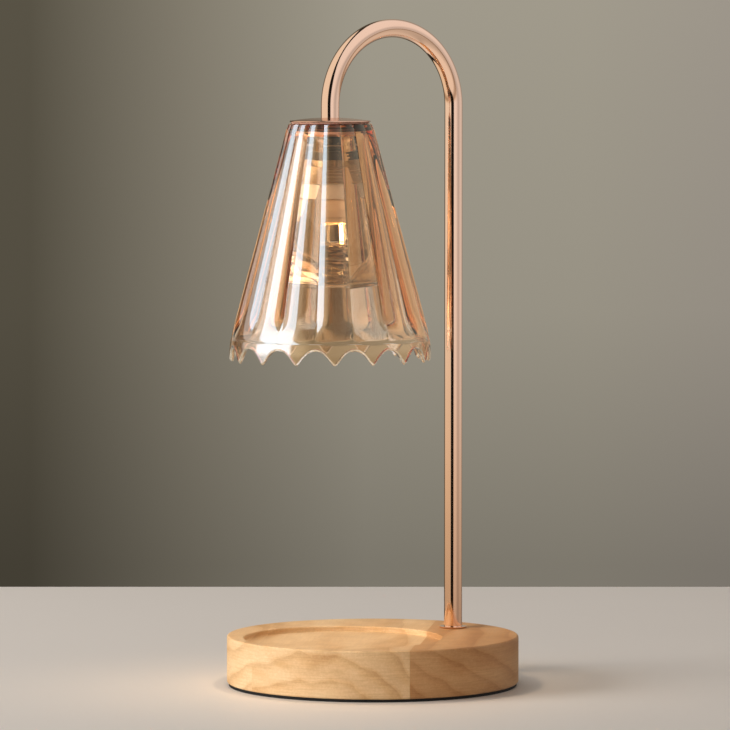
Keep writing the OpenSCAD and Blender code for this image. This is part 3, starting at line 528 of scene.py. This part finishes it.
# The solids of the construction that keep their own shape, by finish
nodesByFinish = {
    "woodGrain": ["wood_base"],
    "foamPad": ["base_pad"],
    "paintedSteel": ["weight_plate"],
    "roseGold": ["post_collar", "clamp_plate"],
    "zincPlate": ["plate_screws", "post_washer", "lock_washer", "post_nut", "block_screws", "block_fixing",
                  "holder_washer", "holder_screws"],
    "blackenedSteel": ["shade_nut"],
    "turnedAluminium": ["holder_ring", "holder_sleeve"],
    "bareBrass": ["block_barrels", "holder_contacts"],
    "nickelPlate": ["bulb_pins"],
    "blackRubber": ["cord_gland"],
    "gasketRubberPaintedGlow": ["cap_gasket"],
    "clampSiliconePaintedGlow": ["clamp_gasket"],
    "nylon": ["terminal_block"],
    "siliconeCore": ["core_leads"],
    "thermoset": ["holder_cover"],
    "unglazedCeramic": ["holder_ceramic"],
    "glazedCeramic": ["bulb_base"],
}


def dress(nodeName, material):
    piece = nodes[nodeName]
    piece.data.materials.clear()
    piece.data.materials.append(material)


def settle(piece, body, slotName, material, *replaced):
    piece.data.materials.clear()
    piece.data.materials.append(material)
    if replaced:
        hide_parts(*replaced)
    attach(piece, body)
    return piece


def stepTo(start, end, count):
    return [start + (end - start) * k / count for k in range(1, count + 1)]


def arcTurns(degrees, count):
    return [math.radians(degrees * k / count) for k in range(count + 1)]


def smoothStep(k):
    k = min(1.0, max(0.0, k))
    return k * k * (3 - 2 * k)


def startRing(name, radius, place, around):
    selectNone()
    bpy.ops.mesh.primitive_circle_add(vertices=around, radius=radius, location=place)
    ring = bpy.context.object
    ring.name = name
    bpy.ops.object.transform_apply(location=True, rotation=True, scale=True)
    bpy.ops.object.mode_set(mode="EDIT")
    bpy.ops.mesh.select_all(action="SELECT")
    return ring


def turnOutline(name, rows, around, axisX, closed=True):
    # rows are (radius, height); a closed outline is bridged into a ring, an open one gets end faces
    (r0, z0) = rows[0]
    piece = startRing(name, r0, (axisX, 0, z0), around)
    for (ra, za), (rb, zb) in zip(rows, rows[1:]):
        bpy.ops.mesh.extrude_region_move(TRANSFORM_OT_translate={"value": (0, 0, zb - za)})
        bpy.ops.transform.resize(value=(rb / ra, rb / ra, 1), center_override=(axisX, 0, zb))
    if closed:
        bpy.ops.mesh.select_all(action="DESELECT")
        bpy.ops.mesh.select_non_manifold(extend=False, use_wire=False, use_boundary=True,
                                         use_multi_face=False, use_non_contiguous=False, use_verts=False)
        bpy.ops.mesh.bridge_edge_loops()
        bpy.ops.mesh.select_all(action="SELECT")
    else:
        bpy.ops.mesh.select_all(action="SELECT")
        bpy.ops.mesh.fill_holes(sides=0)
    bpy.ops.mesh.normals_make_consistent(inside=False)
    bpy.ops.object.mode_set(mode="OBJECT")
    return piece


def smoothEdges(piece, degrees=40):
    selectNone()
    piece.select_set(True)
    bpy.context.view_layer.objects.active = piece
    bpy.ops.object.shade_smooth_by_angle(angle=math.radians(degrees))


def joinInto(piece, *others):
    selectNone()
    for other in others:
        other.select_set(True)
    piece.select_set(True)
    bpy.context.view_layer.objects.active = piece
    bpy.ops.object.join()
    return piece


def addModifier(piece, kind, **settings):
    selectNone()
    piece.select_set(True)
    bpy.context.view_layer.objects.active = piece
    made = piece.modifiers.new(kind.lower(), kind)
    for key, value in settings.items():
        setattr(made, key, value)
    bpy.ops.object.modifier_apply(modifier=made.name)


# The fluted glass shade
shadeLow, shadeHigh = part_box("glass_shade")
shade = {
    "axisX": (shadeLow.x + shadeHigh.x) / 2, "top": shadeHigh.z, "height": shadeHigh.z - shadeLow.z,
    "topRadius": 0.023, "lean": 15.0, "hemRadius": 0.0545, "sideLength": 0.108,
    "flutes": 16, "columnsPerFlute": 24,
    "grooveTop": 0.0013, "grooveLow": 0.0028,       # depth of the grooves at the top and low down
    "grooveEnd": 0.012, "grooveFade": 0.014,        # they end this far above the tips, and fade over this
    "wall": 0.0042, "skirtWall": 0.0024, "flange": 0.0044, "hole": 0.010,
    "arch": 0.008, "roundness": 2.2,                # height and form of the hem's arches, and of the flutes
    "tip": 0.18,                                    # bluntness of the tips, as a share of half a flute
    "edge": 0.0016, "ledge": 0.0003,                # rounding of the top edge; the skirt stands proud
    "chamfer": 0.0004, "topFlat": 0.016,
    "innerCorner": (0.0012, 0.0015),                # radius under the flange, in and down
    "skin": 0.0015,                                 # what lies this near to the crests is the outside
    "thinEnd": 0.001,                               # inside, the skirt starts this far below the grooves
    "ripple": 0.00005, "rippleScale": (60, 60, 40),
    "rows": {"edge": 4, "side": 46, "skirt": 12, "bead": 8, "thin": 10, "growing": 8, "inside": 20,
             "corner": 5},            # points of the outline on each stretch
    "rimMargin": 0.0001,
}
lampAxis = shade["axisX"]


def crestRadius(depth):
    # radius over the crests of the flutes, by depth below the shade's top
    slope = math.tan(math.radians(shade["lean"]))
    turn = shade["height"] - shade["sideLength"]
    kneeRadius = shade["topRadius"] + slope * shade["sideLength"]
    beyond = max(0.0, depth - shade["sideLength"]) / turn
    return shade["topRadius"] + slope * depth + (shade["hemRadius"] - kneeRadius - slope * turn) * beyond ** 2


def grooveDepth(depth):
    stop = shade["height"] - shade["grooveEnd"]
    down = min(1.0, depth / shade["sideLength"])
    full = shade["grooveTop"] + (shade["grooveLow"] - shade["grooveTop"]) * down
    return full * smoothStep((stop - depth) / shade["grooveFade"])


def hemDepth(p):
    rounded = min(1.0, math.hypot(p, shade["tip"]) - shade["tip"] * (1 - abs(p)))
    return shade["height"] - shade["arch"] * (1 - (1 - rounded) ** shade["roundness"])


def shadeOutline():
    # (radius, depth) out over the top, down the side, round the hem and up inside
    s = shade
    count = s["rows"]
    stop = s["height"] - s["grooveEnd"]
    bead = s["skirtWall"] / 2
    low = s["height"] - bead
    ledge = s["ledge"]
    rows = [(s["hole"], s["chamfer"]), (s["hole"] + s["chamfer"], 0.0), (s["topFlat"], 0.0)]
    rows += [(s["topRadius"] - s["edge"] * (1 - math.sin(a)), s["edge"] * (1 - math.cos(a)))
             for a in arcTurns(90, count["edge"])]
    rows += [(crestRadius(d), d) for d in stepTo(s["edge"], stop, count["side"])]
    rows += [(crestRadius(stop) + ledge, stop + ledge)]
    rows += [(crestRadius(d) + ledge, d) for d in stepTo(stop + ledge, low, count["skirt"])]
    rows += [(crestRadius(low) + ledge - (bead + ledge / 2) * (1 - math.cos(a)), low + bead * math.sin(a))
             for a in arcTurns(180, count["bead"])[1:]]
    thinTop = stop + s["thinEnd"]
    rows += [(crestRadius(d) - s["skirtWall"], d) for d in stepTo(low, thinTop, count["thin"])]
    thick = stop - s["grooveFade"]
    for d in stepTo(thinTop, thick, count["growing"]):
        grown = (s["wall"] - s["skirtWall"]) * (thinTop - d) / (thinTop - thick)
        rows.append((crestRadius(d) - s["skirtWall"] - grown, d))
    across, down = s["innerCorner"]
    rows += [(crestRadius(d) - s["wall"], d) for d in stepTo(thick, s["flange"] + down, count["inside"])]
    innerTop = crestRadius(s["flange"]) - s["wall"]
    rows += [(innerTop - across * (1 - math.cos(a)), s["flange"] + down * (1 - math.sin(a)))
             for a in arcTurns(90, count["corner"])[1:]]
    rows += [(s["hole"] + s["chamfer"], s["flange"]), (s["hole"], s["flange"] - s["chamfer"])]
    return rows


def fluteShift(radius, depth, p):
    # where a point of the turned outline goes at place p across a flute
    s = shade
    outer = radius > crestRadius(depth) - s["skin"]
    stop = s["height"] - s["grooveEnd"]
    bead = s["skirtWall"] / 2
    low = s["height"] - bead
    newDepth = depth
    if depth > low:
        newDepth = depth - (s["height"] - hemDepth(p))
    elif depth > stop + s["ledge"]:
        newDepth = stop + (depth - stop) * (hemDepth(p) - bead - stop) / (low - stop)
    newRadius = radius + crestRadius(newDepth) - crestRadius(depth)
    if outer and depth < stop:
        newRadius -= grooveDepth(depth) * abs(p) ** s["roundness"]
    return newRadius, newDepth


def makeShade(glass, rimHighlightGlass):
    s = shade
    outline = shadeOutline()
    columns = s["flutes"] * s["columnsPerFlute"]
    piece = turnOutline("flutedShade", [(radius, -depth) for radius, depth in outline], columns, 0.0)
    pitch = math.tau / s["flutes"]
    for vertex in piece.data.vertices:
        x, y, z = vertex.co
        angle = math.atan2(y, x)
        p = 2 * ((angle / pitch) % 1.0) - 1
        radius, depth = fluteShift(math.hypot(x, y), -z, p)
        radius += s["ripple"] * noise.noise(Vector([c * k for c, k in zip((x, y, z), s["rippleScale"])]))
        vertex.co = (s["axisX"] + radius * math.cos(angle), radius * math.sin(angle), s["top"] - depth)
    piece.data.update()
    smoothEdges(piece)
    piece.visible_shadow = False      # tinted glass lets the light through to what it covers
    settle(piece, "lamp", "amber_glass", glass, "glass_shade")
    piece.data.materials.append(rimHighlightGlass)
    low = s["height"] - s["skirtWall"] / 2
    rim = {k for k, (radius, depth) in enumerate(outline) if depth >= low - s["rimMargin"]}
    for face in piece.data.polygons:      # painted highlight: the rim is rougher and partly milky pale, with a stronger film, so it shows as a light line
        if {corner // columns for corner in face.vertices} <= rim:
            face.material_index = 1
    return piece


# The bent arm, one smooth tube
armLow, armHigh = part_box("arm_tube")
arm = {
    "radius": 0.005, "wall": 0.001, "endAboveCover": 0.0063, "around": 64, "bendSteps": 72,
    "merge": 0.00001,                 # points this near to each other become one
}


def makeArm(metal):
    a = arm
    postX = armHigh.x - a["radius"]
    dropX = armLow.x + a["radius"]
    bend = (postX - dropX) / 2
    springZ = armHigh.z - a["radius"] - bend
    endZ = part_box("holder_cover")[0].z + a["endAboveCover"]
    tube = startRing("bentArm", a["radius"], (postX, 0, armLow.z), a["around"])
    bpy.ops.mesh.extrude_region_move(TRANSFORM_OT_translate={"value": (0, 0, springZ - armLow.z)})
    bpy.ops.mesh.spin(steps=a["bendSteps"], angle=math.pi, center=(postX - bend, 0, springZ), axis=(0, 1, 0))
    bpy.ops.mesh.extrude_region_move(TRANSFORM_OT_translate={"value": (0, 0, endZ - springZ)})
    bpy.ops.mesh.select_all(action="SELECT")
    bpy.ops.mesh.remove_doubles(threshold=a["merge"])
    bpy.ops.mesh.normals_make_consistent(inside=False)
    bpy.ops.object.mode_set(mode="OBJECT")
    addModifier(tube, "SOLIDIFY", thickness=a["wall"], offset=-1.0, use_even_offset=True)
    smoothEdges(tube, degrees=50)
    return settle(tube, "lamp", "rose_gold", metal, "arm_tube")


# The shade's cap: a shallow dome in a flat rim, with its edge rolled over
capLow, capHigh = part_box("top_cap")
cap = {
    "radius": (capHigh.x - capLow.x) / 2 - 0.0013,
    "flat": 0.0010, "thick": 0.0008, "rise": 0.0016, "hole": 0.00515, "bevel": 0.0002,
    "crease": (0.0003, 0.00008),      # across and down, where the dome meets its flat rim
    "hub": 0.0075, "hubFillet": (0.0006, 0.0005), "hubBevel": 0.0004,
    "around": 192, "domeRows": 14, "beadRows": 8,
}


def makeCap(metal):
    c = cap
    rimTop = capHigh.z - c["rise"]
    inner = c["radius"] - c["flat"]
    dome = (inner ** 2 + c["rise"] ** 2) / (2 * c["rise"])
    across, down = c["crease"]

    def domeZ(r):
        return rimTop + math.sqrt(dome ** 2 - r ** 2) - (dome - c["rise"])

    def underHub(drop):
        return domeZ(c["hub"]) - c["thick"] - drop

    first = c["hole"] + c["bevel"]
    rows = [(c["hole"], capLow.z), (c["hole"], domeZ(c["hole"]) - c["bevel"]), (first, domeZ(c["hole"]))]
    rows += [(r, domeZ(r)) for r in stepTo(first, inner - c["bevel"], c["domeRows"])]
    rows += [(inner, rimTop - down), (inner + across, rimTop)]
    bead = c["thick"] / 2
    rows += [(c["radius"] - bead + bead * math.sin(turn), rimTop - bead + bead * math.cos(turn))
             for turn in arcTurns(180, c["beadRows"])]
    rows += [(inner, rimTop - c["thick"]), (c["hub"] + c["hubFillet"][0], underHub(0)),
             (c["hub"], underHub(c["hubFillet"][1])), (c["hub"], capLow.z + c["hubBevel"]),
             (c["hub"] - c["hubBevel"], capLow.z)]
    piece = turnOutline("shadeCap", rows, c["around"], lampAxis)
    smoothEdges(piece, degrees=35)
    return settle(piece, "lamp", "rose_gold", metal, "top_cap")


# The reflector bulb: glass bowl and neck, pressed mirror, front glass, burner capsule and coil
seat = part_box("bulb_base")[1].z
bulb = {
    "front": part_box("bulb_front")[0].z, "frontThick": 0.0018, "radius": 0.025, "frontAround": 144,
    "frontUpper": [(-0.0022, 0.0), (-0.0016, -0.0003)],       # across from the edge and up, by its bead
    "frontLower": [(-0.0016, 0.0003), (-0.0024, 0.0001)],
    "frontBead": 8, "pole": 0.0004,
    "rim": 0.0246, "neck": 0.010, "wall": 0.0014, "bowlTop": seat - 0.0245, "neckTop": seat - 0.010,
    "bowlAround": 120, "bowlRows": 22, "bowlCrowd": 1.6, "neckRows": 6,
    "flange": [(-0.0002, 0.0), (0.0003, 0.0004), (0.0003, 0.0011), (-0.0004, 0.0015)],
    "flangeTop": 0.0017,
    "neckBead": [(0.0005, 0.0004), (0.0005, 0.0010), (0.0, 0.0015)],
    "facets": 30, "facetRows": 9, "facetCrowd": 1.4, "coat": 0.00012,
    "mirrorLow": 0.0004, "mirrorTop": 0.0008,       # what the mirror keeps off the bowl's ends
    "capsule": 0.0046, "capsuleWall": 0.0009, "capsuleTip": seat - 0.031, "pinchLow": seat - 0.011,
    "capsuleTop": seat - 0.006, "capsuleAround": 48,
    "tipRows": [(0.0003, 0.0), (0.0007, 0.0002), (0.0008, 0.0009), (0.0012, 0.0012)],
    "ball": 0.0010,                   # the round end starts this far above the tip
    "skinBall": (-70, 10), "roomBall": (-86, 8),    # first turn and step of its rows, in degrees
    "pinch": [(1.0, -0.0028), (0.96, -0.0018), (0.84, 0.0)],  # shares of the radius, up from its foot
    "pinchTop": [(0.82, -0.0003), (0.76, 0.0)],
    "pinchFlat": 0.55,                # what the pinch loses in thickness
    "roomTop": [(1.0, -0.0032), (0.8, -0.0018), (0.3, -0.0010)],
    "coil": 0.0006, "coilWire": 0.00011, "coilPitch": 0.00042, "coilLow": seat - 0.0235, "coilTurns": 21,
    "coilSteps": 16, "coilSides": 8,
    "wire": 0.00022, "wireOut": 0.0029, "wireBend": 0.6,
    "upperLead": [(1, 0.0, 0.0), (1, 0.0, 0.0008), (0, 0.0006, 0.0016)],      # (coil radii, back, up)
    "lowerLead": [(1, 0.0, 0.0), (1, 0.0002, -0.0008)],
    "leadDrop": (-0.0012, -0.0004), "leadIn": 0.001, "leadTurn": 0.004,
}


def bowlRadius(z, inset):
    b = bulb
    low = b["front"] + b["frontThick"]
    k = (b["bowlTop"] - z) / (b["bowlTop"] - low)
    return math.sqrt((b["neck"] - inset) ** 2 + ((b["rim"] - inset) ** 2 - (b["neck"] - inset) ** 2) * k)


def crowdedLevels(low, high, count, crowd):
    # levels from low to high, closer together towards the top
    return [low + (high - low) * (1 - (1 - k / count) ** crowd) for k in range(count + 1)]


def makeBulbGlass(glass):
    b = bulb
    low = b["front"] + b["frontThick"]
    levels = crowdedLevels(low, b["bowlTop"], b["bowlRows"], b["bowlCrowd"])
    # a rolled flange at the rim, that the front glass sits on, and a small bead where the bowl meets the neck
    outer = [(b["rim"] + across, low + up) for across, up in b["flange"]]
    outer += [(bowlRadius(z, 0), z) for z in levels if z > low + b["flangeTop"]]
    outer += [(b["neck"] + across, b["bowlTop"] + up) for across, up in b["neckBead"]]
    outer += [(b["neck"], z) for z in stepTo(outer[-1][1], b["neckTop"], b["neckRows"])]
    inner = [(b["neck"] - b["wall"], z) for z in (b["neckTop"], (b["neckTop"] + b["bowlTop"]) / 2)]
    inner += [(bowlRadius(z, b["wall"]), z) for z in reversed(levels)]
    piece = turnOutline("bulbGlass", outer + inner, b["bowlAround"], lampAxis)
    smoothEdges(piece, degrees=35)
    piece.visible_shadow = False
    return settle(piece, "bulb", "reflector_glass", glass, "bulb_reflector")


def makeMirror(metal):
    b = bulb
    low = b["front"] + b["frontThick"] + b["mirrorLow"]
    inset = b["wall"] + b["coat"]
    levels = crowdedLevels(low, b["bowlTop"] - b["mirrorTop"], b["facetRows"], b["facetCrowd"])
    piece = startRing("bulbMirror", bowlRadius(low, inset), (lampAxis, 0, low), b["facets"])
    for za, zb in zip(levels, levels[1:]):
        ratio = bowlRadius(zb, inset) / bowlRadius(za, inset)
        bpy.ops.mesh.extrude_region_move(TRANSFORM_OT_translate={"value": (0, 0, zb - za)})
        bpy.ops.transform.resize(value=(ratio, ratio, 1), center_override=(lampAxis, 0, zb))
        bpy.ops.transform.rotate(value=math.pi / b["facets"], orient_axis="Z",
                                 center_override=(lampAxis, 0, zb))
    bpy.ops.mesh.select_all(action="SELECT")
    bpy.ops.mesh.quads_convert_to_tris(quad_method="FIXED")
    bpy.ops.mesh.normals_make_consistent(inside=False)
    bpy.ops.object.mode_set(mode="OBJECT")
    addModifier(piece, "SOLIDIFY", thickness=b["coat"], offset=-1.0)
    return settle(piece, "bulb", "reflector_glass", metal)


def makeFrontGlass(glass):
    b = bulb
    low, high, bead = b["front"], b["front"] + b["frontThick"], b["frontThick"] / 2
    rows = [(b["pole"], high)] + [(b["radius"] + across, high + up) for across, up in b["frontUpper"]]
    rows += [(b["radius"] - bead + bead * math.sin(turn), low + bead + bead * math.cos(turn))
             for turn in arcTurns(180, b["frontBead"])]
    rows += [(b["radius"] + across, low + up) for across, up in b["frontLower"]] + [(b["pole"], low)]
    piece = turnOutline("bulbFront", rows, b["frontAround"], lampAxis, closed=False)
    smoothEdges(piece, degrees=35)
    piece.visible_shadow = False
    return settle(piece, "bulb", "clear_glass", glass, "bulb_front")


def ballRows(radius, middle, first, step):
    # the round lower end, from the first turn below the middle upwards
    turns = [math.radians(a) for a in range(first, 1, step)]
    return [(radius * math.cos(turn), middle + radius * math.sin(turn)) for turn in turns]


def makeCapsule(glass):
    b = bulb
    r, around = b["capsule"], b["capsuleAround"]
    hollow = r - b["capsuleWall"]
    middle = b["capsuleTip"] + b["ball"] + r
    rows = [(across, b["capsuleTip"] + up) for across, up in b["tipRows"]]
    rows += ballRows(r, middle, *b["skinBall"])
    rows += [(r * share, b["pinchLow"] + up) for share, up in b["pinch"]]
    rows += [(r * share, b["capsuleTop"] + up) for share, up in b["pinchTop"]]
    skin = turnOutline("bulbCapsule", rows, around, lampAxis, closed=False)
    rows = ballRows(hollow, middle, *b["roomBall"])
    rows += [(hollow * share, b["pinchLow"] + up) for share, up in b["roomTop"]]
    room = turnOutline("capsuleRoom", rows, around, lampAxis, closed=False)
    bpy.ops.object.mode_set(mode="EDIT")
    bpy.ops.mesh.select_all(action="SELECT")
    bpy.ops.mesh.flip_normals()
    bpy.ops.object.mode_set(mode="OBJECT")
    joinInto(skin, room)
    rise = -b["pinch"][0][1]
    for vertex in skin.data.vertices:           # the pinch is pressed flat
        flat = smoothStep((vertex.co.z - b["pinchLow"] + rise) / rise)
        vertex.co.x = lampAxis + (vertex.co.x - lampAxis) * (1 - b["pinchFlat"] * flat)
    skin.data.update()
    smoothEdges(skin)
    skin.visible_shadow = False
    return settle(skin, "bulb", "quartz", glass, "bulb_capsule")


def bentWire(name, points, radius):
    selectNone()
    line = bpy.data.curves.new(name, "CURVE")
    line.dimensions = "3D"
    line.bevel_depth = radius
    line.bevel_resolution = 2
    line.use_fill_caps = True
    spline = line.splines.new("POLY")
    spline.points.add(len(points) - 1)
    for point, place in zip(spline.points, points):
        point.co = (*place, 1)
    wire = bpy.data.objects.new(name, line)
    bpy.context.collection.objects.link(wire)
    wire.select_set(True)
    bpy.context.view_layer.objects.active = wire
    bpy.ops.object.convert(target="MESH")
    return bpy.context.object


def makeFilament(glow):
    b = bulb
    coil = startRing("bulbCoil", b["coilWire"], (b["coil"], 0, 0), b["coilSides"])
    bpy.ops.transform.rotate(value=math.pi / 2, orient_axis="X", center_override=(b["coil"], 0, 0))
    bpy.ops.object.mode_set(mode="OBJECT")
    addModifier(coil, "SCREW", angle=math.tau, screw_offset=b["coilPitch"], iterations=b["coilTurns"],
                steps=b["coilSteps"], render_steps=b["coilSteps"], use_normal_calculate=True)
    selectNone()
    coil.select_set(True)
    bpy.context.view_layer.objects.active = coil
    bpy.ops.object.mode_set(mode="EDIT")
    bpy.ops.mesh.select_all(action="SELECT")
    bpy.ops.mesh.fill_holes(sides=0)
    bpy.ops.mesh.normals_make_consistent(inside=False)
    bpy.ops.transform.translate(value=(lampAxis, 0, b["coilLow"]))
    bpy.ops.object.mode_set(mode="OBJECT")

    def fromCoil(start, rows):
        return [(lampAxis + b["coil"] * share, back, start + up) for share, back, up in rows]

    low = b["coilLow"]
    high = low + b["coilPitch"] * b["coilTurns"]
    top = b["pinchLow"] + b["leadIn"]
    upper = fromCoil(high, b["upperLead"])
    upper.append((lampAxis, upper[-1][1], top))
    bend, out = b["wireOut"] * b["wireBend"], b["wireOut"]
    first, second = b["leadDrop"]
    lower = fromCoil(low, b["lowerLead"])
    lower += [(lampAxis, bend, low + first), (lampAxis, out, low + second),
              (lampAxis, out, top - b["leadTurn"]), (lampAxis, bend, top)]
    near = bentWire("upperLead", upper, b["wire"])
    far = bentWire("lowerLead", lower, b["wire"])
    joinInto(coil, near, far)
    smoothEdges(coil, degrees=60)
    return settle(coil, "bulb", "filament", glow, "bulb_filament")


makeCamera(viewPoint)
makeLights()
makeWorld(studio)
makeFloor(studio)
print("studio ready")

finishes = {name: metalFinish(name, **values) for name, values in metals.items()}
finishes.update({name: plainFinish(name, **values) for name, values in plains.items()})
finishes.update({name: glassFinish(name, **values) for name, values in glasses.items()})
finishes["filamentGlow"] = glowFinish("filamentGlow", **filamentGlow)
finishes["woodGrain"] = woodFinish()
print("finishes ready")

for finishName, nodeNames in nodesByFinish.items():
    for nodeName in nodeNames:
        dress(nodeName, finishes[finishName])
print("construction dressed")

makeArm(finishes["roseGold"])
makeCap(finishes["shadedCapGold"])
print("arm and cap ready")
makeShade(finishes["amberGlass"], finishes["rimHighlightGlass"])
print("shade ready")
makeBulbGlass(finishes["clearGlass"])
makeMirror(finishes["reflectorMirror"])
makeFrontGlass(finishes["clearGlass"])
makeCapsule(finishes["quartzGlass"])
makeFilament(finishes["filamentGlow"])
print("bulb ready")
